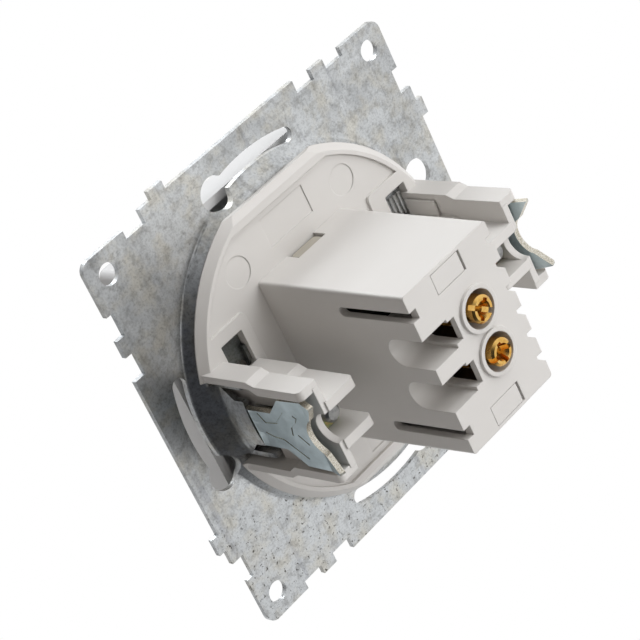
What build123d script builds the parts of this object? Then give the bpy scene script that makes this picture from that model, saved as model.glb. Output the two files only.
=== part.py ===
from build123d import *
import math
import os

# All lengths in millimetres. +Z is up on the wall, the front faces -Y,
# Y = 0 is the rear face of the support plate, which lies on the wall.

# Support plate
PLATE_T = 0.9
CORNER_LEVEL = 33.75
CORNER_R = 1.8
LONG_LEVEL = 34.54
NOTCH_LEVEL = 32.4
HOLE_PITCH = 60.0
HOLE_R = 1.75
SLOT_R = 29.65
SLOT_W = 2.6
SLOT_START = -14.9
SLOT_END = 16.7
KEY_R = 2.75
DISH_FOOT_R = 28.2
DISH_SLOPE_W = 2.0
DISH_TOP_R = DISH_FOOT_R - DISH_SLOPE_W
DISH_H = 2.0
DISH_BEND_R = 0.6
SLOPE_SHIFT = 0.3
JOIN_R = DISH_FOOT_R + 0.8
TAB_ROOT = JOIN_R - 0.45
TAB_X = DISH_TOP_R - 0.9
TAB_END = 8.2
TAB_HALF_LOW = 6.4
TAB_HALF_END = 4.1
TAB_BEND_R = 1.5
EAR_X = (TAB_X - 3.3, TAB_X - 0.8)
EAR_Z = (5.9, 6.8)
EAR_END = 8.7
STAKE_X = 12.25
STAKE_Z = 17.9
STAKE_R = 1.2
RIDGE_R = 0.45
RIDGE_PITCH = 0.95
RIDGE_COUNT = 4

# Base moulding
FLANGE_R = 27.4
RIM_R = 26.3
RIM_Y = 3.6
PANEL_Y = 3.1
PANEL_R = 25.6
PANEL_HALF_Z = 23.1
FLAT_Z = 25.5
BOX_Y = 33.4
BOX_X = 9.66
BOX_Z = 14.02
BOX_DRAFT = 0.37
CAVITY_X0 = -7.0
CAVITY_X1 = 8.55
CAVITY_Z = 12.85
FLOOR_T = 1.5
FRAME_X = 14.8
FRAME_Z = 12.8
WINDOW_Z0 = 4.25
WINDOW_Z1 = 10.65
LATCH_X = 3.15
LATCH_Y1 = 5.8
TONGUE_GAP = 0.06
TONGUE_SIDE_GAP = 0.45
TONGUE_X0 = -3.05
TONGUE_X1 = 3.55
TONGUE_Z0 = 10.1
TONGUE_Z1 = 13.5
SLIT_Z0 = 9.6
SLIT_Z1 = 11.3
SLIT_Y = 18.7
TOOTH_PITCH = 4.23
TOOTH_DEPTH = 1.3
TOOTH_FIRST_Z = 11.5
TOOTH_COUNT = 6

# Claw guides
WALL_X1 = TAB_X - 2.0
WALL_X0 = WALL_X1 - 1.2
WALL_END = 23.5
NOTCH_HALF = 2.6
NOTCH_BOTTOM = 20.5
SLAB_X1 = TAB_X + 0.5
SLAB_LOW = (7.55, 8.8)
SLAB_HIGH = (6.6, 8.1)
SLAB_STEP = (12.3, 13.8)
SLAB_END = 23.4
TINE_X0 = WALL_X0 - 6.0
TINE_Z = (2.62, 4.25)
TINE_FOOT = 0.8
TINE_END = 23.8

# Wire terminals
TERM_X = -1.95
TERM_Z = 3.84
BORE_R = 3.0
BORE_RIM_R = 3.7
BORE_RIM_H = 0.45
CHAMBER_X0 = -5.1
CHAMBER_X1 = 1.5
CHAMBER_HALF = 3.1
HOUSING_Y = 24.0
BODY_Y0 = 24.2
BODY_Y1 = 27.3
ENTRY_Y0 = 26.3
ENTRY_WEB = 1.2
NOTCH_X = 4.2
NOTCH_Y0 = 25.6
NOTCH_R = 2.5
INNER_NOTCH_X = 2.7
INNER_NOTCH_R = 1.95
CLAMP_T = 0.9
CLAMP_HALF = 2.1
CLAMP_CORNER = 0.5
SCREW_R = 1.4
SCREW_TIP = 24.8
RUN_CLEAR = 0.05
HEAD_R = 2.15
HEAD_Y0 = 31.3
HEAD_Y1 = 34.6
RECESS_DEPTH = 1.1
RECESS_W = 0.8

# Claws, their nuts and screws
CLAW_T = 0.95
CLAW_SEAT_GAP = 0.275
CLAW_X = TAB_X - 0.2
CLAW_Y0 = TAB_END + CLAW_SEAT_GAP + CLAW_T / 2
CLAW_BEND = 0.52
CLAW_FLARE = 22.3
CLAW_TIP = (CLAW_X + 0.85, 24.9)
CLAW_INNER_X = CLAW_X - 1.05
CLAW_INNER_HALF = 2.3
CLAW_NECK = 3.3
CLAW_HALF = 6.2
CLAW_ARC_BOTTOM = 20.8
CLAW_ARC_R = 3.5
CLAW_PRONG = 3.2
MARK_W = 0.3
MARK_DEPTH = 0.14
LEG_WINDOW = (8.4, 17.0)
DRIVE_X = WALL_X0 - 2.1
NUT_X = (DRIVE_X - 1.9, DRIVE_X + 1.9)
NUT_Y = (16.6, 19.0)
NUT_HALF = TINE_Z[0] - 0.22
CLAW_INNER_END = (NUT_X[1] + 0.65, NUT_Y[0] - 0.4)
DRIVE_R = 1.45
DRIVE_TIP = 20.9
DRIVE_HEAD_R = 2.6
DRIVE_HEAD_H = 1.8
DRIVE_COLLAR_R = 1.75
DRIVE_COLLAR_T = 0.8

# Front cover and its carrier
COVER_HALF = 27.5
COVER_FRONT = -8.1
COVER_BACK = -2.3
COVER_WALL = 1.5
COVER_FACE_T = 1.8
COVER_R = 1.5
CARRIER_X = 17.0
CARRIER_Z = 15.4
CARRIER_T = 1.5
CARRIER_OPEN_X = (-7.2, 8.4)
CARRIER_OPEN_Z = 10.9
ARM_HALF = 2.6
ARM_Z = (11.4, 12.6)
ARM_END = 5.5
NUB_X = 2.7
NUB_Y = 3.4
NUB_Z = 14.05
POST_X = 12.5
POST_Z = 12.0
POST_W = 3.0

# Charger electronics
BOARD_T = 1.6
BOARD_X = (-6.3, 7.8)
BOARD_Y = (-5.0, 23.6)
RING_Y = (7.0, 9.0)
USB_W = 13.1
USB_H = 5.7
USB_L = 14.5
USB_FRONT = -7.9
USB_WALL = 0.35
USB_Z = BOARD_T / 2 + USB_H / 2
USB_TONGUE_T = 1.84


def block(xs, ys, zs):
    size = [b - a for a, b in (xs, ys, zs)]
    centre = [(a + b) / 2 for a, b in (xs, ys, zs)]
    return Pos(*centre) * Box(*size)


def along_y(sketch, y0, y1):
    return extrude(Plane.XZ.offset(-y1) * sketch, amount=y1 - y0)


def along_x(sketch, x0, x1):
    return extrude(Plane.YZ.offset(x0) * sketch, amount=x1 - x0)


def along_z(sketch, z0, z1):
    return extrude(Plane.XY.offset(z0) * sketch, amount=z1 - z0)


def face(*points):
    return make_face(Polyline(*points, close=True))


def block_face(across, centre, half):
    return Pos(sum(across) / 2, centre) * Rectangle(across[1] - across[0], 2 * half)


def peg(x, z, radius, y0, y1):
    return along_y(Pos(x, z) * Circle(radius), y0, y1)


def both_x(shape):
    return shape + mirror(shape, about=Plane.YZ)


def both_z(shape):
    return shape + mirror(shape, about=Plane.XY)


def plate_outline():
    steps = [
        (-24.67, NOTCH_LEVEL), (-20.59, 34.63), (-17.91, 35.94), (-14.96, LONG_LEVEL),
        (13.98, NOTCH_LEVEL), (17.95, 34.06), (20.9, NOTCH_LEVEL), (24.85, CORNER_LEVEL),
    ]
    side = [(-CORNER_LEVEL, CORNER_LEVEL)]
    level = CORNER_LEVEL
    for s, next_level in steps:
        side += [(s, level), (s, next_level)]
        level = next_level
    points = []
    for turn in range(4):
        for s, out in side:
            points.append([(-s, out), (-out, -s), (s, -out), (out, s)][turn])
    outline = face(*points)
    corners = [v for v in outline.vertices() if abs(abs(v.X) - abs(v.Y)) < 0.01]
    return fillet(corners, CORNER_R)


def arc_slot():
    sweep = SLOT_END - SLOT_START
    slot = SlotArc(CenterArc((0, 0), SLOT_R, SLOT_START, sweep), SLOT_W)
    angle = math.radians(SLOT_START)
    key = Pos(SLOT_R * math.cos(angle), SLOT_R * math.sin(angle)) * Circle(KEY_R)
    return slot + key


def sloped_ring(top, bend_r):
    section = face(
        (JOIN_R, -PLATE_T), (JOIN_R, 0), (DISH_FOOT_R, 0), *top, (DISH_FOOT_R - SLOPE_SHIFT, -PLATE_T),
    )
    foot = [v for v in section.vertices() if DISH_FOOT_R - 0.5 < v.X < JOIN_R - 0.1]
    section = fillet(foot, DISH_BEND_R)
    bends = [v for v in section.vertices() if 1 < v.X < DISH_TOP_R + 0.1 and v.Y < TAB_END - 0.1]
    return Rot(0, 45, 0) * revolve(fillet(bends, bend_r), Axis.Y)


def dish():
    front = DISH_H - PLATE_T
    top = [(DISH_TOP_R, DISH_H), (0, DISH_H), (0, front), (DISH_TOP_R - SLOPE_SHIFT, front)]
    return sloped_ring(top, DISH_BEND_R)


def claw_tab():
    inner = TAB_X - PLATE_T
    top = [
        (DISH_TOP_R - SLOPE_SHIFT, DISH_H + SLOPE_SHIFT), (TAB_X, DISH_H + 1.5), (TAB_X, TAB_END),
        (inner, TAB_END), (inner, DISH_H + 1.2), (TAB_X - 0.1, DISH_H - 0.4),
    ]
    ring = sloped_ring(top, TAB_BEND_R)
    side = [(-2, TAB_HALF_LOW), (3.4, TAB_HALF_LOW), (6.2, TAB_HALF_END), (TAB_END + 1, TAB_HALF_END)]
    shape = face(*side, *[(y, -z) for y, z in reversed(side)])
    return ring & along_x(shape, TAB_X - 4, TAB_ROOT)


def build_support_plate():
    sheet = along_y(plate_outline(), -PLATE_T, 0)
    plate = sheet - peg(0, 0, JOIN_R, -PLATE_T, 0) + dish()
    tab_room = block((TAB_X - 2.3, TAB_ROOT), (-2, 3), (-TAB_HALF_LOW, TAB_HALF_LOW))
    plate -= both_x(tab_room & peg(0, 0, JOIN_R, -2, 3))
    plate += both_x(claw_tab())
    slot = along_y(arc_slot(), -PLATE_T - 1, DISH_H)
    for quarter in range(4):
        plate -= Rot(0, 90 * quarter, 0) * slot
    for sx in (-1, 1):
        for sz in (-1, 1):
            plate -= peg(sx * HOLE_PITCH / 2, sz * HOLE_PITCH / 2, HOLE_R, -2, 1)
            plate -= peg(sx * STAKE_X, sz * STAKE_Z, STAKE_R + RUN_CLEAR, 0, 3)
    plate -= block((-8.7, 8.7), (0, 3), (-13, 13))
    plate -= both_x(block((DRIVE_X - 3.1, DRIVE_X + 3.2), (-2, 3), (-5.8, 5.8)))
    ear = block(EAR_X, (DISH_H - PLATE_T, EAR_END), EAR_Z)
    ear = fillet(ear.edges().filter_by(Axis.Z).sort_by(Axis.Y)[-2:], 0.6)
    plate += both_x(both_z(ear))
    ridge = along_z(Pos(-18.9, DISH_H + 0.2) * Circle(RIDGE_R), 5.4, 9.4)
    for step in range(RIDGE_COUNT):
        plate += both_z(Pos(-step * RIDGE_PITCH, 0, 0) * ridge)
    lip = block((DRIVE_X - 3.3, DRIVE_X - 2.7), (1.4, 2.9), (5.2, 8.0))
    plate += both_z(lip)
    return plate


def sawtooth_cutter():
    root = BOX_X - TOOTH_DEPTH
    out = BOX_X + 1.0
    cutter = []
    for tooth in range(TOOTH_COUNT):
        z = TOOTH_FIRST_Z - tooth * TOOTH_PITCH
        cutter.append(face(
            (-out, z), (-root, z), (-root, z - 0.55), (-BOX_X - 0.4, z - 2.0), (-out, z - 2.0),
        ))
    tool = cutter[0]
    for piece in cutter[1:]:
        tool += piece
    return along_y(tool, PANEL_Y, BOX_Y + 1)


def flange():
    section = face((0, DISH_H), (FLANGE_R, DISH_H), (FLANGE_R, DISH_H + 0.15), (RIM_R, RIM_Y), (0, RIM_Y))
    disc = revolve(section, Axis.Y)
    flat = face((2.8, FLAT_Z), (RIM_Y, FLAT_Z - 1.1), (5, FLAT_Z - 1.1), (5, 30), (1, 30), (1, FLAT_Z))
    disc -= both_z(along_x(flat, -FLANGE_R - 1, FLANGE_R + 1))
    panel = Circle(PANEL_R) & Rectangle(2 * PANEL_R, 2 * PANEL_HALF_Z)
    frame_w = PANEL_R + 1 - FRAME_X
    for side in (-1, 1):
        frame = Pos(side * (FRAME_X + frame_w / 2), 0) * RectangleRounded(frame_w, 2 * FRAME_Z, 0.8)
        panel -= frame
    disc -= along_y(panel, PANEL_Y, RIM_Y + 1)
    for side in (-1, 1):
        disc -= along_y(Pos(0, side * 19.6) * Rectangle(9.7, 4.8), PANEL_Y - 0.15, PANEL_Y + 1)
        for other in (-1, 1):
            disc -= peg(side * STAKE_X, other * STAKE_Z, 2.45, PANEL_Y - 0.12, PANEL_Y + 1)
    window_z = (WINDOW_Z0 + WINDOW_Z1) / 2
    window_h = WINDOW_Z1 - WINDOW_Z0
    for side in (-1, 1):
        left = Pos(18.9, side * window_z) * RectangleRounded(4.6, window_h, 0.2)
        right = Pos(-20.3, side * window_z) * RectangleRounded(4.6, window_h, 0.2)
        disc -= along_y(left, 0, 5)
        disc -= along_y(right, 0, 5)
    disc -= both_x(block((WALL_X1, 30), (0, 5), (-SLAB_LOW[0], SLAB_LOW[0])))
    ear_room = block((EAR_X[0] - 0.3, 30), (0, 5), (EAR_Z[0] - 0.3, EAR_Z[1] + 0.3))
    return disc - both_x(both_z(ear_room))


def claw_guide():
    low = SLAB_LOW[0] + 0.5
    high = SLAB_HIGH[0] + 0.5
    outline = face(
        (DISH_H, -low), (SLAB_STEP[0], -low), (SLAB_STEP[1], -high), (WALL_END, -high),
        (WALL_END, high), (SLAB_STEP[1], high), (SLAB_STEP[0], low), (DISH_H, low),
    )
    wall = along_x(outline, WALL_X0, WALL_X1)
    sag = WALL_END - NOTCH_BOTTOM
    arc_r = (NOTCH_HALF ** 2 + sag ** 2) / (2 * sag)
    wall -= along_x(Pos(NOTCH_BOTTOM + arc_r, 0) * Circle(arc_r), WALL_X0 - 1, WALL_X1 + 1)
    wall -= block((WALL_X0 - 1, WALL_X1 + 1), LEG_WINDOW, (-NOTCH_HALF, NOTCH_HALF))
    ear_room = block((WALL_X0 - 1, WALL_X1 + 1), (DISH_H - 1, EAR_END + 0.3), (EAR_Z[0] - 0.7, SLAB_LOW[0]))
    wall -= both_z(ear_room)
    slab = face(
        (DISH_H, SLAB_LOW[0]), (SLAB_STEP[0], SLAB_LOW[0]), (SLAB_STEP[1], SLAB_HIGH[0]),
        (SLAB_END, SLAB_HIGH[0]), (SLAB_END, SLAB_HIGH[1]), (SLAB_STEP[1], SLAB_HIGH[1]),
        (SLAB_STEP[0], SLAB_LOW[1]), (DISH_H, SLAB_LOW[1]),
    )
    slabs = along_x(slab, WALL_X0, SLAB_X1)
    outer = slabs.edges().filter_by(Axis.Z).sort_by(Axis.Y)[-2:].sort_by(Axis.X)[-1]
    slabs = fillet(outer, 1.0)
    foot = TINE_Z[1] + TINE_FOOT
    tine = face(
        (DISH_H, TINE_Z[0]), (TINE_END, TINE_Z[0]), (TINE_END, TINE_Z[1]),
        (14.0, TINE_Z[1]), (12.5, foot), (RIM_Y, foot), (RIM_Y, TINE_Z[1]), (DISH_H, TINE_Z[1]),
    )
    tines = along_x(tine, TINE_X0, WALL_X0 + 0.4)
    inner = tines.edges().filter_by(Axis.Z).sort_by(Axis.Y)[-2:].sort_by(Axis.X)[0]
    tines = fillet(inner, 0.9)
    return wall + both_z(slabs + tines)


def build_base():
    foot = Plane.XZ.offset(-DISH_H) * Rectangle(2 * (BOX_X + BOX_DRAFT), 2 * (BOX_Z + BOX_DRAFT))
    head = Plane.XZ.offset(-BOX_Y) * Rectangle(2 * BOX_X, 2 * BOX_Z)
    box = loft([foot, head])
    box = fillet(box.edges().filter_by(lambda e: e.length > 30), 0.5)
    cavity_w = CAVITY_X1 - CAVITY_X0
    cavity_x = (CAVITY_X0 + CAVITY_X1) / 2
    base = flange() + box
    base -= along_y(Pos(cavity_x, 0) * RectangleRounded(cavity_w, 2 * CAVITY_Z, 0.6), 0, BOX_Y - FLOOR_T)
    base += block((CAVITY_X0 - 0.5, CAVITY_X1 + 0.5), (HOUSING_Y, BOX_Y - 1), (-7.6, 7.6))
    tongue_w = TONGUE_X1 - TONGUE_X0
    tongue_x = (TONGUE_X0 + TONGUE_X1) / 2
    for side in (-1, 1):
        z = side * (TONGUE_Z0 + TONGUE_Z1) / 2
        opening = Pos(tongue_x, z) * Rectangle(tongue_w, TONGUE_Z1 - TONGUE_Z0)
        base -= along_y(opening, RING_Y[0] + 0.5, BOX_Y + 1)
        chamber = Pos((CHAMBER_X0 + CHAMBER_X1) / 2, side * TERM_Z)
        chamber *= Rectangle(CHAMBER_X1 - CHAMBER_X0, 2 * CHAMBER_HALF)
        base -= along_y(chamber, HOUSING_Y - 1, BODY_Y1)
        base += peg(TERM_X, side * TERM_Z, BORE_RIM_R, BOX_Y - 0.5, BOX_Y + BORE_RIM_H)
        base -= peg(TERM_X, side * TERM_Z, BORE_R, BODY_Y1 - 0.5, BOX_Y + 1)
        for radius, depth in ((NOTCH_R, NOTCH_X), (INNER_NOTCH_R, INNER_NOTCH_X)):
            y0 = NOTCH_Y0 + NOTCH_R
            notch = Pos(y0, side * TERM_Z) * Circle(radius)
            notch += block_face((y0, BOX_Y + 1), side * TERM_Z, radius)
            base -= along_x(notch, depth, BOX_X + 1)
        entry = Pos(ENTRY_Y0 + INNER_NOTCH_R, side * TERM_Z) * Circle(INNER_NOTCH_R)
        entry += block_face((ENTRY_Y0 + INNER_NOTCH_R, BOX_Y - ENTRY_WEB), side * TERM_Z, INNER_NOTCH_R)
        base -= along_x(entry, TERM_X + 1, INNER_NOTCH_X + 0.1)
        slit_z = side * (SLIT_Z0 + SLIT_Z1) / 2
        slit_w = SLIT_Z1 - SLIT_Z0
        slit = Pos(SLIT_Y + slit_w / 2, slit_z) * Circle(slit_w / 2)
        slit += block_face((SLIT_Y + slit_w / 2, BOX_Y + 1), slit_z, slit_w / 2)
        base -= along_x(slit, CAVITY_X1 - 0.3, BOX_X + 1)
        base -= block((-LATCH_X, LATCH_X), (PANEL_Y, LATCH_Y1), sorted((side * 12, side * 15)))
    base -= sawtooth_cutter()
    base += both_x(claw_guide())
    for sx in (-1, 1):
        base -= peg(sx * DRIVE_X, 0, DRIVE_R + RUN_CLEAR, 0, RIM_Y + 1)
        for sz in (-1, 1):
            base += peg(sx * STAKE_X, sz * STAKE_Z, STAKE_R, 0.6, DISH_H + 0.2)
            base += peg(sx * STAKE_X, sz * STAKE_Z, 2.0, 0.3, DISH_H - PLATE_T)
    return base


def build_front_carrier():
    back = DISH_H - PLATE_T
    frame = along_y(RectangleRounded(2 * CARRIER_X, 2 * CARRIER_Z, 2.0), back - CARRIER_T, back)
    frame -= block(CARRIER_OPEN_X, (-5, 5), (-CARRIER_OPEN_Z, CARRIER_OPEN_Z))
    arm = block((-ARM_HALF, ARM_HALF), (back - 0.5, ARM_END), ARM_Z)
    nub = Pos(0, (NUB_Y + ARM_END) / 2) * RectangleRounded(2 * NUB_X, ARM_END - NUB_Y, 0.6)
    return frame + both_z(arm + along_z(nub, ARM_Z[1] - 0.3, NUB_Z))


def build_front_cover():
    shell = along_y(RectangleRounded(2 * COVER_HALF, 2 * COVER_HALF, COVER_R), COVER_FRONT, COVER_BACK)
    shell = fillet(shell.faces().sort_by(Axis.Y)[0].edges(), 0.7)
    inner = 2 * (COVER_HALF - COVER_WALL)
    face_back = COVER_FRONT + COVER_FACE_T
    shell -= along_y(RectangleRounded(inner, inner, 0.6), face_back, COVER_BACK + 1)
    seat = DISH_H - PLATE_T - CARRIER_T
    for sx in (-1, 1):
        for sz in (-1, 1):
            post = Pos(sx * POST_X, sz * POST_Z) * RectangleRounded(POST_W, POST_W, 0.4)
            shell += along_y(post, face_back - 0.3, seat)
    for side in (-1, 1):
        opening = Pos(0, side * USB_Z) * RectangleRounded(USB_W + 0.4, USB_H + 0.4, 0.5)
        shell -= along_y(opening, COVER_FRONT - 1, face_back + 1)
    return shell


def build_board_carrier():
    ring_w = CAVITY_X1 - CAVITY_X0 - 0.3
    outline = Pos((CAVITY_X0 + CAVITY_X1) / 2, 0) * RectangleRounded(ring_w, 2 * CAVITY_Z - 0.3, 0.6)
    ring = along_y(outline, *RING_Y)
    ring -= block((-5.8, 7.3), (RING_Y[0] - 1, RING_Y[1] + 1), (-9.7, 9.7))
    groove = (BOARD_X[0] - 0.05, BOARD_X[1] + 0.05)
    ring -= block(groove, (RING_Y[0] - 1, RING_Y[1] + 1), (-BOARD_T / 2, BOARD_T / 2))
    tongue_x = (TONGUE_X0 + TONGUE_SIDE_GAP, TONGUE_X1 - TONGUE_GAP)
    tongue_z = (TONGUE_Z0 + TONGUE_GAP, TONGUE_Z1 - TONGUE_GAP)
    return ring + both_z(block(tongue_x, (RING_Y[0] + 0.6, BOX_Y), tongue_z))


def build_circuit_board():
    board = block(BOARD_X, BOARD_Y, (-BOARD_T / 2, BOARD_T / 2))
    return chamfer(board.edges().filter_by(Axis.Z), 0.6)


def build_usb_shell():
    body = Pos(0, USB_Z) * RectangleRounded(USB_W, USB_H, 0.6)
    hole = Pos(0, USB_Z) * Rectangle(USB_W - 2 * USB_WALL, USB_H - 2 * USB_WALL)
    shell = along_y(body, USB_FRONT, USB_FRONT + USB_L)
    shell -= along_y(hole, USB_FRONT - 1, USB_FRONT + USB_L - USB_WALL)
    for sx in (-1, 1):
        shell -= block(sorted((sx * 2.0, sx * 4.2)), (-4.5, -2.0), (USB_Z + 2, USB_Z + 4))
    return shell


def build_usb_tongue():
    back = USB_FRONT + USB_L - USB_WALL
    half = USB_W / 2 - USB_WALL - 0.05
    top = USB_Z + USB_H / 2 - USB_WALL - 0.05
    bottom = USB_Z - USB_H / 2 + USB_WALL
    rear = block((-half, half), (back - 4.2, back), (bottom, top))
    blade = block((-5.55, 5.55), (USB_FRONT + 1.4, back - 4), (top - 0.6 - USB_TONGUE_T, top - 0.6))
    blade = chamfer(blade.edges().filter_by(Axis.X).sort_by(Axis.Y)[:2], 0.4)
    return rear + blade


def build_usb_contacts():
    top = USB_Z + USB_H / 2 - USB_WALL - 0.65 - USB_TONGUE_T
    strips = []
    for x, front in ((-3.5, 0.0), (-1.0, 1.0), (1.0, 1.0), (3.5, 0.0)):
        strips.append(block((x - 0.5, x + 0.5), (USB_FRONT + 2.2 + front, 2.05), (top - 0.25, top)))
    return Compound(children=strips)


def build_transformer_core():
    core = block((-5.75, 7.25), (9.6, 20.6), (2.8, 7.8))
    for x0 in (-4.25, 2.75):
        core -= block((x0, x0 + 3.0), (12.0, 18.2), (2, 9))
    return core


def build_transformer_winding():
    coil = block((-4.2, 5.7), (12.05, 18.15), (BOARD_T / 2, 9.4))
    coil = fillet(coil.edges().filter_by(Axis.Y), 1.2)
    return coil - block((-1.3, 2.8), (11, 19), (2.75, 7.85))


def build_capacitor(x, radius, y0, y1):
    z = -BOARD_T / 2 - radius
    can = peg(x, z, radius, y0, y1)
    groove = peg(x, z, radius + 1, y0 + 0.9, y0 + 1.3) - peg(x, z, radius - 0.25, y0, y1)
    return can - groove


def build_chip(xs, height):
    body = block(xs, (21.0, 23.3), (BOARD_T / 2, BOARD_T / 2 + height))
    return chamfer(body.faces().sort_by(Axis.Z)[-1].edges(), 0.25)


def build_terminal_body():
    half = CHAMBER_HALF - 0.15
    body = block((CHAMBER_X0 + 0.15, CHAMBER_X1 - 0.15), (BODY_Y0, BODY_Y1), (TERM_Z - half, TERM_Z + half))
    body -= peg(TERM_X, TERM_Z, SCREW_R + RUN_CLEAR, BODY_Y0 - 1, BODY_Y1 + 1)
    tail = block((-3.2, -0.8), (21.0, BODY_Y0 + 0.3), (BOARD_T / 2, BOARD_T / 2 + 0.6))
    return body + tail


def build_clamp_plate():
    square = RectangleRounded(2 * CLAMP_HALF, 2 * CLAMP_HALF, CLAMP_CORNER)
    plate = along_y(Pos(TERM_X, TERM_Z) * square, HEAD_Y0 - CLAMP_T, HEAD_Y0)
    return plate - peg(TERM_X, TERM_Z, SCREW_R + RUN_CLEAR, BODY_Y1, HEAD_Y0 + 1)


def build_terminal_screw(turn):
    head = peg(TERM_X, TERM_Z, HEAD_R, HEAD_Y0, HEAD_Y1)
    head = chamfer(head.edges().sort_by(Axis.Y)[-1], 0.35)
    shaft = peg(TERM_X, TERM_Z, SCREW_R, SCREW_TIP, HEAD_Y0 + 0.2)
    shaft = chamfer(shaft.edges().sort_by(Axis.Y)[0], 0.3)
    cross = Rectangle(2 * HEAD_R + 1, RECESS_W) + Rectangle(RECESS_W, 3.4)
    recess = along_y(Pos(TERM_X, TERM_Z) * Rot(0, 0, turn) * cross, HEAD_Y1 - RECESS_DEPTH, HEAD_Y1 + 1)
    cone = Cone(0.3, 1.35, 1.9, align=(Align.CENTER, Align.CENTER, Align.MAX))
    dimple = Pos(TERM_X, HEAD_Y1, TERM_Z) * Rot(-90, 0, 0) * cone
    return head + shaft - recess - dimple


def claw_marks():
    panel = Polyline((11.2, 3.0), (12.1, 1.4), (14.7, 1.6), (17.0, 3.4), (17.4, 3.8))
    rib = Polyline((11.1, -0.6), (12.7, -1.2), (14.4, -1.35), (15.5, -2.2), (18.3, -4.5))
    hook = Polyline((19.2, 3.5), (19.9, 3.0), (19.1, 2.0), (17.7, 1.0), (17.2, -0.3))
    slit = Polyline((18.4, -0.1), (20.0, -1.7))
    marks = []
    for line in (panel, rib, hook, slit):
        marks.append(along_x(trace(line, MARK_W), CLAW_X + CLAW_T / 2 - MARK_DEPTH, CLAW_X + CLAW_T))
    return marks


def build_claw():
    path = FilletPolyline(
        CLAW_TIP, (CLAW_X, CLAW_FLARE), (CLAW_X, CLAW_Y0), (CLAW_INNER_X, CLAW_Y0), CLAW_INNER_END,
        radius=[1.2, CLAW_BEND, CLAW_BEND],
    )
    strip = along_z(trace(path, CLAW_T), -CLAW_HALF, CLAW_HALF)
    far = CLAW_TIP[1] + 1
    prong_foot = CLAW_ARC_BOTTOM + CLAW_ARC_R - math.sqrt(CLAW_ARC_R ** 2 - CLAW_PRONG ** 2)
    side = [
        (CLAW_Y0 - 1, CLAW_NECK), (14.3, CLAW_NECK), (16.7, 5.5), (17.2, 6.0), (CLAW_FLARE, CLAW_HALF),
        (far, 5.9), (CLAW_TIP[1], 5.7), (prong_foot, CLAW_PRONG),
    ]
    outline = face(*side, *[(y, -z) for y, z in reversed(side)])
    outline -= Pos(CLAW_ARC_BOTTOM + CLAW_ARC_R, 0) * Circle(CLAW_ARC_R)
    split = (CLAW_X + CLAW_INNER_X) / 2
    arm = strip & along_x(outline, split, CLAW_TIP[0] + 2)
    leg_z = (-CLAW_INNER_HALF, CLAW_INNER_HALF)
    leg = strip & block((CLAW_INNER_END[0] - 2, split), (CLAW_Y0 - 1, far), leg_z)
    claw = arm + leg
    for mark in claw_marks():
        claw -= mark
    return claw


def build_claw_nut():
    nut = block(NUT_X, NUT_Y, (-NUT_HALF, NUT_HALF))
    nut = chamfer(nut.edges().filter_by(Axis.Y), 0.25)
    return nut - peg(DRIVE_X, 0, DRIVE_R + RUN_CLEAR, NUT_Y[0] - 1, NUT_Y[1] + 1)


def build_claw_screw():
    front = DISH_H - DRIVE_HEAD_H
    head = peg(DRIVE_X, 0, DRIVE_HEAD_R, front, DISH_H)
    slot = Pos(DRIVE_X, 0) * (Rectangle(5.6, 0.8) + Rectangle(0.8, 3.2))
    head -= along_y(slot, front - 1, front + 0.9)
    shaft = peg(DRIVE_X, 0, DRIVE_R, front + 0.5, DRIVE_TIP)
    shaft = chamfer(shaft.edges().sort_by(Axis.Y)[-1], 0.4)
    return head + shaft + peg(DRIVE_X, 0, DRIVE_COLLAR_R, RIM_Y, RIM_Y + DRIVE_COLLAR_T)


def save(name, shape):
    export_step(shape, os.path.join("parts", name + ".step"))


def main():
    os.makedirs("parts", exist_ok=True)
    save("support_plate", build_support_plate())
    save("base_moulding", build_base())
    save("front_carrier", build_front_carrier())
    save("front_cover", build_front_cover())
    save("board_carrier", build_board_carrier())
    save("circuit_board", build_circuit_board())
    save("transformer_core", build_transformer_core())
    save("transformer_winding", build_transformer_winding())
    save("input_capacitor", build_capacitor(-2.3, 3.8, 9.8, 20.4))
    save("output_capacitor_front", build_capacitor(4.7, 2.7, 9.8, 15.8))
    save("output_capacitor_rear", build_capacitor(4.7, 2.7, 16.4, 22.4))
    save("controller_chip", build_chip((1.6, 6.4), 1.5))
    save("rectifier_diode", build_chip((-6.0, -4.0), 1.2))
    upper_and_lower = {
        "usb_shell": build_usb_shell(),
        "usb_tongue": build_usb_tongue(),
        "usb_contacts": build_usb_contacts(),
        "terminal_body": build_terminal_body(),
        "clamp_plate": build_clamp_plate(),
    }
    for name, shape in upper_and_lower.items():
        save(name + "_upper", shape)
        save(name + "_lower", mirror(shape, about=Plane.XY))
    save("terminal_screw_upper", build_terminal_screw(40))
    save("terminal_screw_lower", mirror(build_terminal_screw(5), about=Plane.XY))
    left_and_right = {
        "claw": build_claw(),
        "claw_nut": build_claw_nut(),
        "claw_screw": build_claw_screw(),
    }
    for name, shape in left_and_right.items():
        save(name + "_left", shape)
        save(name + "_right", mirror(shape, about=Plane.YZ))


main()
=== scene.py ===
import bmesh
import bpy
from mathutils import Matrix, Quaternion, Vector


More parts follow.
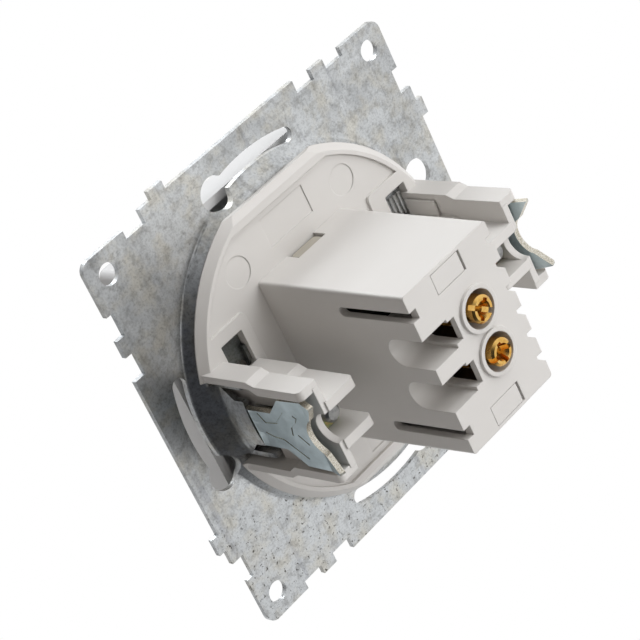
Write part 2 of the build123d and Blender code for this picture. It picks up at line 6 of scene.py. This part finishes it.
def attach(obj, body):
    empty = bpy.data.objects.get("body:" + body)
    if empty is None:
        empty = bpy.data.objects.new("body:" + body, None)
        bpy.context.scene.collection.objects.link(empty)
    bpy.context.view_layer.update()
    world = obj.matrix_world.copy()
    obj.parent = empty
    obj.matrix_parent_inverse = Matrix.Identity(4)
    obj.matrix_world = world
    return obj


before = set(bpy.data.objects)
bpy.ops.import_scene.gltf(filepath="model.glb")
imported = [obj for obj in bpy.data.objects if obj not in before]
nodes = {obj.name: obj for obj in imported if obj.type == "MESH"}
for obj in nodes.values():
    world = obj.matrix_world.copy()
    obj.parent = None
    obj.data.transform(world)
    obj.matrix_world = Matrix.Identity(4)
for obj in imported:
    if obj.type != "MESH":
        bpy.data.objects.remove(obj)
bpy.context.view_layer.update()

# Lengths are in metres, lamp powers in watts, and colours are linear RGB.
# A noise is (scale, detail, roughness), with its scale per metre.
# A fade is (from, to, value at from, value at to).
# Tones are the stops of a colour ramp, each a position and a colour.

WHITE = (1.0, 1.0, 1.0)

# Between these values lies most of what a noise gives.
NOISE_LOW = 0.3
NOISE_HIGH = 0.7

# Sockets of a mix node that mixes colours
MIX_FIRST = 6
MIX_SECOND = 7
MIX_RESULT = 2

BEVEL_SAMPLES = 6


class Graph:
    """A small helper that builds a node material step by step."""

    def __init__(self, name):
        self.material = bpy.data.materials.new(name)
        self.material.use_nodes = True
        self.tree = self.material.node_tree
        self.shader = self.tree.nodes["Principled BSDF"]
        texture = self.tree.nodes.new("ShaderNodeTexCoord")
        self.coords = texture.outputs["Object"]
        self.facing = texture.outputs["Normal"]

    def add(self, kind, **values):
        node = self.tree.nodes.new(kind)
        for key, value in values.items():
            setattr(node, key, value)
        return node

    def link(self, source, target):
        self.tree.links.new(source, target)

    def put(self, socket, value):
        """Give a socket a number or a colour, or link an output to it."""
        if isinstance(value, (int, float)):
            socket.default_value = value
        elif isinstance(value, tuple):
            socket.default_value = (*value, 1.0)
        else:
            self.link(value, socket)

    def mapped(self, scale, rotation=(0, 0, 0)):
        node = self.add("ShaderNodeMapping")
        node.inputs["Scale"].default_value = scale
        node.inputs["Rotation"].default_value = rotation
        self.link(self.coords, node.inputs["Vector"])
        return node.outputs["Vector"]

    def noise(self, scale, detail, rough, vector=None, distortion=0.0):
        node = self.add("ShaderNodeTexNoise")
        node.inputs["Scale"].default_value = scale
        node.inputs["Detail"].default_value = detail
        node.inputs["Roughness"].default_value = rough
        node.inputs["Distortion"].default_value = distortion
        self.link(vector or self.coords, node.inputs["Vector"])
        return node.outputs["Fac"]

    def ramp(self, value, tones):
        node = self.add("ShaderNodeValToRGB")
        while len(node.color_ramp.elements) < len(tones):
            node.color_ramp.elements.new(0.5)
        for element, (position, colour) in zip(node.color_ramp.elements, tones):
            element.position = position
            element.color = (*colour, 1.0)
        self.link(value, node.inputs["Fac"])
        return node.outputs["Color"]

    def fade(self, value, start, end, at_start, at_end):
        node = self.add("ShaderNodeMapRange")
        node.inputs["From Min"].default_value = start
        node.inputs["From Max"].default_value = end
        node.inputs["To Min"].default_value = at_start
        node.inputs["To Max"].default_value = at_end
        self.link(value, node.inputs["Value"])
        return node.outputs["Result"]

    def mix(self, factor, first, second, mode="MIX"):
        node = self.add("ShaderNodeMix", data_type="RGBA", blend_type=mode)
        self.put(node.inputs["Factor"], factor)
        self.put(node.inputs[MIX_FIRST], first)
        self.put(node.inputs[MIX_SECOND], second)
        return node.outputs[MIX_RESULT]

    def darken(self, factor, colour, tint):
        return self.mix(factor, colour, tint, "MULTIPLY")

    def math(self, operation, first, second=0.0):
        node = self.add("ShaderNodeMath", operation=operation)
        self.put(node.inputs[0], first)
        self.put(node.inputs[1], second)
        return node.outputs[0]

    def axis(self, name, source=None):
        node = self.add("ShaderNodeSeparateXYZ")
        self.link(source or self.coords, node.inputs[0])
        return node.outputs[name]

    def between(self, value, low, high):
        above = self.math("GREATER_THAN", value, low)
        below = self.math("LESS_THAN", value, high)
        return self.math("MULTIPLY", above, below)

    def bump(self, height, distance, strength, edge=0.0):
        """Relief from a height. An edge above 0 also softens the corners, in shading only."""
        node = self.add("ShaderNodeBump")
        node.inputs["Distance"].default_value = distance
        node.inputs["Strength"].default_value = strength
        self.link(height, node.inputs["Height"])
        if edge:
            rounded = self.add("ShaderNodeBevel", samples=BEVEL_SAMPLES)
            rounded.inputs["Radius"].default_value = edge
            self.link(rounded.outputs["Normal"], node.inputs["Normal"])
        self.link(node.outputs["Normal"], self.shader.inputs["Normal"])

    def finish(self, colour, rough, metallic):
        self.put(self.shader.inputs["Base Color"], colour)
        self.put(self.shader.inputs["Roughness"], rough)
        self.put(self.shader.inputs["Metallic"], metallic)
        return self.material


# Moulded plastic

MOULD_FLOW = (90.0, 3.0, 0.55)
MOULD_FINE = (4500.0, 3.0, 0.6)
MOULD_FLOW_DARK_AT = 0.35
MOULD_FLOW_LIGHT_AT = 0.65
MOULD_ROUGH_SWING = 0.06
MOULD_RELIEF = 0.5
MOULD_SPECULAR = 0.5
MOULD_GRAIN = 0.00002
COVER_GRAIN = 0.000004
SOFT_EDGE = 0.00022

# The box around the inside of a wire entry, where the white walls are painted near black as
# painted shade for the deep recess. Z is its distance from the middle.
ENTRY_PAINTED_SHADE = (0.006, 0.006, 0.006)
ENTRY_X = (-0.0012, 0.00272)
ENTRY_Y = (0.0262, 0.0323)
ENTRY_Z = (0.0017, 0.0060)


def inside(g, box):
    """1 inside the box, which is mirrored across the middle plane Z = 0."""
    in_x = g.between(g.axis("X"), *box[0])
    in_y = g.between(g.axis("Y"), *box[1])
    in_z = g.between(g.math("ABSOLUTE", g.axis("Z")), *box[2])
    return g.math("MULTIPLY", g.math("MULTIPLY", in_x, in_y), in_z)


def moulded(name, light, dark, roughness, grain=MOULD_GRAIN, edge=0.0, painted_shade_box=None):
    """Moulded plastic with a fine grain. Inside the given box the colour is painted near black,
    as painted shade for a deep recess.
    """
    g = Graph(name)
    flow = g.noise(*MOULD_FLOW)
    fine = g.noise(*MOULD_FINE)
    g.bump(fine, grain, MOULD_RELIEF, edge)
    colour = g.ramp(flow, [(MOULD_FLOW_DARK_AT, dark), (MOULD_FLOW_LIGHT_AT, light)])
    # Painted shade: inside the given box the plastic is painted near black.
    if painted_shade_box:
        colour = g.mix(inside(g, painted_shade_box), colour, ENTRY_PAINTED_SHADE)
    smoother = roughness - MOULD_ROUGH_SWING
    rougher = roughness + MOULD_ROUGH_SWING
    g.put(g.shader.inputs["Specular IOR Level"], MOULD_SPECULAR)
    rough = g.fade(fine, NOISE_LOW, NOISE_HIGH, smoother, rougher)
    return g.finish(colour, rough, 0.0)


# Galvanised plate

PLATE_CLOUD = (75.0, 6.0, 0.66)
PLATE_CLOUD_DISTORTION = 0.8
PLATE_MOTTLE = (620.0, 4.0, 0.7)
PLATE_GRAIN = (2600.0, 3.0, 0.65)
PLATE_PIT = (1500.0, 3.0, 0.55)
PLATE_STAIN = (210.0, 3.0, 0.6)
PLATE_SCRATCH = (700.0, 2.0, 0.5)
SCRATCH_STRETCH = (1.0, 1.0, 0.04)
SCRATCH_TURN = (0.4, 0.9, 0.0)

CLOUD_TONES = [
    (0.34, (0.56, 0.575, 0.585)),
    (0.50, (0.68, 0.695, 0.70)),
    (0.66, (0.78, 0.80, 0.81)),
]
MOTTLE_TONES = [(0.36, (0.62, 0.61, 0.60)), (0.52, WHITE)]
GRAIN_TONES = [(0.36, (0.72, 0.72, 0.72)), (0.52, WHITE)]
STAIN_TONES = [(0.46, WHITE), (0.64, (1.0, 0.95, 0.86))]
PIT_TONES = [(0.345, (0.20, 0.19, 0.18)), (0.385, WHITE)]
SCRATCH_TONES = [(0.30, (0.80, 0.80, 0.82)), (0.38, WHITE)]
# Painted reflection: the lighter tone of the plate's low part.
LOWER_PAINTED_LIGHT_TONE = (0.75, 0.77, 0.78)
# Painted reflection: the tone of the moulding's shaded side, mirrored on the plate's +X side.
PAINTED_REFLECTION_TONE = (0.50, 0.51, 0.52)
# Painted shade: the tone of the plate behind the flange.
FLANGE_SHADE_TONE = (0.34, 0.36, 0.36)

# How far each layer shows over the clouds
MOTTLE_SHARE = 0.75
GRAIN_SHARE = 0.7
STAIN_SHARE = 0.9
SCRATCH_SHARE = 0.8
PAINTED_REFLECTION_SHARE = 0.3
PIT_SHARE = 0.22
PIT_SHARE_LOWER = 0.75

# The border of each painted region wanders with the clouds.
BORDER_DRIFT = (NOISE_LOW, NOISE_HIGH, -0.009, 0.009)
# The low part of the plate is more pitted, and is painted lighter as a painted reflection of the
# bright surroundings.
LOWER_PART = (-0.010, -0.018, 0.0, 1.0)
# On its +X side, around this height, the plate is painted darker, a painted reflection of the
# moulding's shaded side.
PAINTED_REFLECTION_X = (0.016, 0.026, 0.0, 1.0)
PAINTED_REFLECTION_Z = 0.008
PAINTED_REFLECTION_REACH = (0.010, 0.018, 1.0, 0.0)
# Behind the flange, on the +X side, the plate is painted darker as painted shade cast by the
# flange walls. The fade is by distance from the centre.
FLANGE_SHADE_REACH = (0.0225, 0.0235, 1.0, 0.0)

PLATE_RELIEF_DEPTH = 0.00004
PLATE_RELIEF = 0.6
PLATE_ROUGH = (0.35, 0.65, 0.44, 0.30)


def painted_reflection_mask(g, drift):
    across = g.fade(g.math("ADD", g.axis("X"), drift), *PAINTED_REFLECTION_X)
    height = g.math("ABSOLUTE", g.math("SUBTRACT", g.axis("Z"), PAINTED_REFLECTION_Z))
    return g.math("MULTIPLY", across, g.fade(height, *PAINTED_REFLECTION_REACH))


def flange_shade_mask(g):
    squares = [g.math("POWER", g.axis(name), 2.0) for name in ("X", "Z")]
    radius = g.math("SQRT", g.math("ADD", *squares))
    on_side = g.math("GREATER_THAN", g.axis("X"), 0.0)
    return g.math("MULTIPLY", g.fade(radius, *FLANGE_SHADE_REACH), on_side)


def plate_finish(name):
    """Galvanised sheet: cloudy, with warm stains, fine grain, scattered pits and scratches, and
    painted light and shade in places: a painted lighter reflection low down, a painted dark
    reflection on the +X side and painted shade behind the flange.
    """
    g = Graph(name)
    cloud = g.noise(*PLATE_CLOUD, distortion=PLATE_CLOUD_DISTORTION)
    mottle = g.noise(*PLATE_MOTTLE)
    grain = g.noise(*PLATE_GRAIN)
    pit = g.noise(*PLATE_PIT)
    stain = g.noise(*PLATE_STAIN)
    scratch = g.noise(*PLATE_SCRATCH, g.mapped(SCRATCH_STRETCH, SCRATCH_TURN))
    drift = g.fade(cloud, *BORDER_DRIFT)
    lower_part = g.fade(g.math("ADD", g.axis("Z"), drift), *LOWER_PART)
    pitted = g.math("ADD", g.math("MULTIPLY", lower_part, PIT_SHARE_LOWER), PIT_SHARE)
    painted_reflection = g.math("MULTIPLY", painted_reflection_mask(g, drift), PAINTED_REFLECTION_SHARE)

    # The low part is painted lighter, a painted reflection; its extra pits are real.
    colour = g.mix(lower_part, g.ramp(cloud, CLOUD_TONES), LOWER_PAINTED_LIGHT_TONE)
    colour = g.darken(MOTTLE_SHARE, colour, g.ramp(mottle, MOTTLE_TONES))
    colour = g.darken(GRAIN_SHARE, colour, g.ramp(grain, GRAIN_TONES))
    colour = g.darken(STAIN_SHARE, colour, g.ramp(stain, STAIN_TONES))
    colour = g.darken(pitted, colour, g.ramp(pit, PIT_TONES))
    # Painted reflection: the +X side is darkened where the plate mirrors the moulding's shaded
    # side.
    colour = g.darken(painted_reflection, colour, PAINTED_REFLECTION_TONE)
    # Painted shade behind the flange on the +X side.
    colour = g.darken(flange_shade_mask(g), colour, FLANGE_SHADE_TONE)
    colour = g.darken(SCRATCH_SHARE, colour, g.ramp(scratch, SCRATCH_TONES))
    g.bump(mottle, PLATE_RELIEF_DEPTH, PLATE_RELIEF)
    return g.finish(colour, g.fade(cloud, *PLATE_ROUGH), 1.0)


# Claws

CLAW_CLOUD = (260.0, 4.0, 0.6)
CLAW_GRAIN = (3000.0, 2.0, 0.6)
CLAW_EDGE_GRAIN_AND_GLINT = (6500.0, 2.0, 0.7)
CLAW_CREASE = (650.0, 2.0, 0.5)
CREASE_STRETCH = (0.2, 0.25, 1.0)
CREASE_FADE = (0.0105, 0.0140, 1.0, 0.0)
CREASE_HEIGHT = 14.0
CLOUD_HEIGHT = 8.0
CLAW_CLOUD_DARK_AT = 0.36
CLAW_CLOUD_LIGHT_AT = 0.60
CLAW_RELIEF_DEPTH = 0.00003
CLAW_RELIEF = 0.6
CLAW_ROUGH = (0.35, 0.65, 0.38, 0.28)

# The cut edges of the sheet are where its surface hardly faces along X.
CUT_EDGE = (0.55, 0.25, 0.0, 1.0)
# On the cut edges the brightest grains are painted glints; the darker grains are the steel's own
# colour.
EDGE_PAINTED_GLINT = (0.93, 0.91, 0.86)
EDGE_DARK_GRAIN = 0.66


def edge_grain_and_glint_tones(edge):
    shade = tuple(EDGE_DARK_GRAIN * c for c in edge)
    return [(0.38, shade), (0.50, edge), (0.64, EDGE_PAINTED_GLINT)]


def claw_finish(name, light, dark, edge):
    """Smooth bluish zinc on the faces, brighter grainy metal where the sheet was cut, with
    painted glints on its brightest grains.
    """
    g = Graph(name)
    cloud = g.noise(*CLAW_CLOUD)
    grain = g.noise(*CLAW_GRAIN)
    edge_grain_and_glint = g.noise(*CLAW_EDGE_GRAIN_AND_GLINT)
    creases = g.noise(*CLAW_CREASE, g.mapped(CREASE_STRETCH))
    across = g.math("ABSOLUTE", g.axis("X", g.facing))
    cut = g.fade(across, *CUT_EDGE)
    colour = g.ramp(cloud, [(CLAW_CLOUD_DARK_AT, dark), (CLAW_CLOUD_LIGHT_AT, light)])
    # The cut edges get their grain with painted glints.
    colour = g.mix(cut, colour, g.ramp(edge_grain_and_glint, edge_grain_and_glint_tones(edge)))
    near_bend = g.fade(g.axis("Y"), *CREASE_FADE)
    relief = g.math("MULTIPLY", g.math("MULTIPLY", creases, near_bend), CREASE_HEIGHT)
    waves = g.math("MULTIPLY", cloud, CLOUD_HEIGHT)
    height = g.math("ADD", g.math("ADD", grain, relief), waves)
    g.bump(height, CLAW_RELIEF_DEPTH, CLAW_RELIEF)
    return g.finish(colour, g.fade(cloud, *CLAW_ROUGH), 1.0)


# Small metal parts

METAL_GRAIN = (900.0, 4.0, 0.6)
METAL_DARK_AT = 0.35
METAL_LIGHT_AT = 0.6
METAL_SMOOTHER = 0.06
METAL_ROUGHER = 0.08
SMALL_RELIEF_DEPTH = 0.00002
SMALL_RELIEF = 0.4

FILM = (420.0, 3.0, 0.6)
FILM_DISTORTION = 1.2
FILM_ROUGH = 0.3
FILM_TONES = [
    (0.34, (0.62, 0.30, 0.24)),
    (0.44, (0.74, 0.60, 0.26)),
    (0.54, (0.42, 0.56, 0.28)),
    (0.64, (0.72, 0.68, 0.40)),
]


def simple_metal(name, light, dark, roughness):
    g = Graph(name)
    grain = g.noise(*METAL_GRAIN)
    colour = g.ramp(grain, [(METAL_DARK_AT, dark), (METAL_LIGHT_AT, light)])
    smoother = roughness - METAL_SMOOTHER
    rougher = roughness + METAL_ROUGHER
    rough = g.fade(grain, NOISE_LOW, NOISE_HIGH, smoother, rougher)
    g.bump(grain, SMALL_RELIEF_DEPTH, SMALL_RELIEF)
    return g.finish(colour, rough, 1.0)


def passivated(name):
    """Zinc under a passivated film that shows red, yellow and green."""
    g = Graph(name)
    film = g.noise(*FILM, distortion=FILM_DISTORTION)
    g.bump(film, SMALL_RELIEF_DEPTH, SMALL_RELIEF)
    return g.finish(g.ramp(film, FILM_TONES), FILM_ROUGH, 1.0)


# Finishes of the CAD pieces

CLAW_LIGHT = (0.66, 0.76, 0.79)
CLAW_DARK = (0.55, 0.64, 0.66)
CLAW_EDGE = (0.72, 0.67, 0.55)

plate_zinc = plate_finish("plate_zinc")
claw_zinc = claw_finish("claw_zinc", CLAW_LIGHT, CLAW_DARK, CLAW_EDGE)
# The base's wire entries are painted dark inside, as painted shade.
base_white = moulded("base_white", (0.685, 0.665, 0.64), (0.672, 0.652, 0.626), 0.42,
                     edge=SOFT_EDGE, painted_shade_box=(ENTRY_X, ENTRY_Y, ENTRY_Z))
carrier_beige = moulded("carrier_beige", (0.45, 0.42, 0.36), (0.42, 0.39, 0.33), 0.45)
cover_white = moulded("cover_white", (0.80, 0.80, 0.80), (0.78, 0.78, 0.78), 0.18, COVER_GRAIN)
black_plastic = moulded("black_plastic", (0.02, 0.02, 0.02), (0.012, 0.012, 0.013), 0.35)
board_green = moulded("board_green", (0.02, 0.12, 0.05), (0.012, 0.09, 0.04), 0.3)
ferrite = moulded("ferrite", (0.035, 0.035, 0.037), (0.02, 0.02, 0.022), 0.55)
tape = moulded("tape", (0.75, 0.5, 0.05), (0.7, 0.44, 0.04), 0.28)
sleeve = moulded("sleeve", (0.012, 0.015, 0.03), (0.008, 0.01, 0.02), 0.25)
brass = simple_metal("brass", (0.90, 0.56, 0.17), (0.72, 0.40, 0.09), 0.22)
tinned = simple_metal("tinned", (0.72, 0.72, 0.72), (0.6, 0.6, 0.6), 0.3)
gold = simple_metal("gold", (0.85, 0.62, 0.2), (0.75, 0.5, 0.15), 0.2)
dull_screw = simple_metal("dull_screw", (0.50, 0.50, 0.49), (0.28, 0.28, 0.28), 0.42)
yellow_zinc = passivated("yellow_zinc")

finishes = {
    "support_plate": plate_zinc,
    "base_moulding": base_white,
    "board_carrier": base_white,
    "front_carrier": carrier_beige,
    "front_cover": cover_white,
    "circuit_board": board_green,
    "transformer_core": ferrite,
    "transformer_winding": tape,
    "input_capacitor": sleeve,
    "output_capacitor_front": sleeve,
    "output_capacitor_rear": sleeve,
    "controller_chip": black_plastic,
    "rectifier_diode": black_plastic,
}
for height in ("upper", "lower"):
    finishes["usb_shell_" + height] = tinned
    finishes["usb_tongue_" + height] = black_plastic
    finishes["usb_contacts_" + height] = gold
    finishes["terminal_body_" + height] = brass
    finishes["clamp_plate_" + height] = tinned
    finishes["terminal_screw_" + height] = brass
for side in ("left", "right"):
    finishes["claw_" + side] = claw_zinc
    finishes["claw_nut_" + side] = yellow_zinc
    finishes["claw_screw_" + side] = dull_screw

for name, material in finishes.items():
    node_mesh = nodes[name].data
    node_mesh.materials.clear()
    node_mesh.materials.append(material)

# A thin wall closes each claw station beside the plate's ear, on the side towards the deep box.

EAR_WALL_X = (0.02160, 0.02197)
EAR_WALL_Y = (0.0031, 0.0096)
EAR_WALL_Z = (0.0050, 0.0078)
EAR_WALL_BEVEL = 0.00008
EAR_WALL_BEVEL_STEPS = 2
FLAT_WITHIN = 0.01


def ear_wall(name, side_x, side_z):
    form = bmesh.new()
    corners = [
        form.verts.new((side_x * x, y, side_z * z))
        for x in EAR_WALL_X
        for y in EAR_WALL_Y
        for z in EAR_WALL_Z
    ]
    bmesh.ops.convex_hull(form, input=corners)
    bmesh.ops.dissolve_limit(form, angle_limit=FLAT_WITHIN, verts=form.verts, edges=form.edges)
    bmesh.ops.bevel(form, geom=form.edges[:], offset=EAR_WALL_BEVEL,
                    segments=EAR_WALL_BEVEL_STEPS, affect="EDGES", profile=0.5)
    bmesh.ops.recalc_face_normals(form, faces=form.faces)
    mesh = bpy.data.meshes.new(name)
    form.to_mesh(mesh)
    form.free()
    mesh.materials.append(base_white)
    wall = bpy.data.objects.new(name, mesh)
    bpy.context.collection.objects.link(wall)
    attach(wall, "socket")


for side, side_x in (("left", 1), ("right", -1)):
    for height, side_z in (("upper", 1), ("lower", -1)):
        ear_wall(f"ear_wall_{side}_{height}", side_x, side_z)

# Floor and world. Both look plain white to the camera, whatever light they give the object.

FLOOR_HALF = 4
FLOOR_Z = -0.3
FLOOR_COLOUR = (0.8, 0.8, 0.8)
FLOOR_ROUGH = 0.9

# What the surfaces mirror is bright, and goes dark towards this direction.
SHADE_SIDE = Vector((0.92, 0.38, -0.10)).normalized()
SHADE_START = -0.2
SHADE_END = 0.8
MIRROR_BRIGHT = (0.88, 0.885, 0.89)
MIRROR_DARK = (0.05, 0.052, 0.058)
AMBIENT = (0.235, 0.22, 0.208)


def seen_directly(tree):
    """1 for rays that come from the camera, also through something clear."""
    path = tree.nodes.new("ShaderNodeLightPath")
    seen = tree.nodes.new("ShaderNodeMath")
    seen.operation = "MAXIMUM"
    tree.links.new(path.outputs["Is Camera Ray"], seen.inputs[0])
    tree.links.new(path.outputs["Is Transmission Ray"], seen.inputs[1])
    return seen.outputs[0]


def mix_shaders(tree, factor, first, second):
    node = tree.nodes.new("ShaderNodeMixShader")
    for socket, source in zip(node.inputs, (factor, first, second)):
        tree.links.new(source, socket)
    return node.outputs[0]


def background(tree, colour):
    node = tree.nodes.new("ShaderNodeBackground")
    node.inputs["Color"].default_value = (*colour, 1)
    return node.outputs[0]


def floor_material(name):
    material = bpy.data.materials.new(name)
    material.use_nodes = True
    tree = material.node_tree
    glow = tree.nodes.new("ShaderNodeEmission")
    glow.inputs["Color"].default_value = (*WHITE, 1)
    glow.inputs["Strength"].default_value = 1.0
    body = tree.nodes["Principled BSDF"]
    body.inputs["Base Color"].default_value = (*FLOOR_COLOUR, 1)
    body.inputs["Roughness"].default_value = FLOOR_ROUGH
    shown = mix_shaders(tree, seen_directly(tree), body.outputs[0], glow.outputs[0])
    tree.links.new(shown, tree.nodes["Material Output"].inputs[0])
    return material


def mirror_shade(tree):
    """0 towards the bright side of the mirrored world, up to 1 towards its dark side."""
    direction = tree.nodes.new("ShaderNodeTexCoord").outputs["Generated"]
    towards = tree.nodes.new("ShaderNodeVectorMath")
    towards.operation = "DOT_PRODUCT"
    towards.inputs[1].default_value = SHADE_SIDE
    tree.links.new(direction, towards.inputs[0])
    shade = tree.nodes.new("ShaderNodeMapRange")
    shade.interpolation_type = "SMOOTHSTEP"
    shade.inputs["From Min"].default_value = SHADE_START
    shade.inputs["From Max"].default_value = SHADE_END
    tree.links.new(towards.outputs["Value"], shade.inputs["Value"])
    return shade.outputs["Result"]


FLOOR_CORNERS = [(-1, -1), (1, -1), (1, 1), (-1, 1)]
floor_mesh = bpy.data.meshes.new("floor")
floor_points = [(FLOOR_HALF * x, FLOOR_HALF * y, FLOOR_Z) for x, y in FLOOR_CORNERS]
floor_mesh.from_pydata(floor_points, [], [(0, 1, 2, 3)])
floor = bpy.data.objects.new("floor", floor_mesh)
bpy.context.collection.objects.link(floor)
floor_mesh.materials.append(floor_material("floor_white"))
floor.visible_glossy = False

world = bpy.data.worlds.new("studio")
bpy.context.scene.world = world
world.use_nodes = True
sky = world.node_tree
glossy = sky.nodes.new("ShaderNodeLightPath").outputs["Is Glossy Ray"]
bright = background(sky, MIRROR_BRIGHT)
dark = background(sky, MIRROR_DARK)
mirrored = mix_shaders(sky, mirror_shade(sky), bright, dark)
lit = mix_shaders(sky, glossy, background(sky, AMBIENT), mirrored)
whole = mix_shaders(sky, seen_directly(sky), lit, background(sky, WHITE))
sky.links.new(whole, sky.nodes["World Output"].inputs[0])

# Lamps, which all face the origin. Only the one above the front is mirrored.


def lamp(name, place, power, size, colour, mirrored=True):
    data = bpy.data.lights.new(name, "AREA")
    data.energy = power
    data.color = colour
    data.size = size
    obj = bpy.data.objects.new(name, data)
    bpy.context.collection.objects.link(obj)
    obj.location = place
    obj.rotation_mode = "QUATERNION"
    obj.rotation_quaternion = (-Vector(place)).to_track_quat("-Z", "Y")
    obj.visible_glossy = mirrored


lamp("top", (-0.42, 0.30, 0.78), 5.4, 0.7, (0.97, 0.985, 1.0), False)
lamp("over", (-0.15, -0.50, 0.72), 3.9, 0.4, (0.93, 0.965, 1.0))
lamp("rear", (-0.45, 0.85, 0.18), 5.4, 0.7, (0.985, 0.99, 1.0), False)

# Camera, which looks at the rear from above. Sensor and lens are in millimetres.

SENSOR_WIDTH = 36.0
LENS = 132.5
CLIP_START = 0.01
CLIP_END = 20.0
CAMERA_PLACE = (0.18551, 0.267964, 0.162411)
CAMERA_TURN = Quaternion((0.4292805, 0.0392312, 0.5250384, 0.733835))

camera_data = bpy.data.cameras.new("camera")
camera = bpy.data.objects.new("camera", camera_data)
bpy.context.collection.objects.link(camera)
camera_data.sensor_width = SENSOR_WIDTH
camera_data.lens = LENS
camera_data.clip_start = CLIP_START
camera_data.clip_end = CLIP_END
camera.rotation_mode = "QUATERNION"
camera.location = CAMERA_PLACE
camera.rotation_quaternion = CAMERA_TURN
bpy.context.scene.camera = camera
bpy.context.scene.view_settings.view_transform = "Standard"
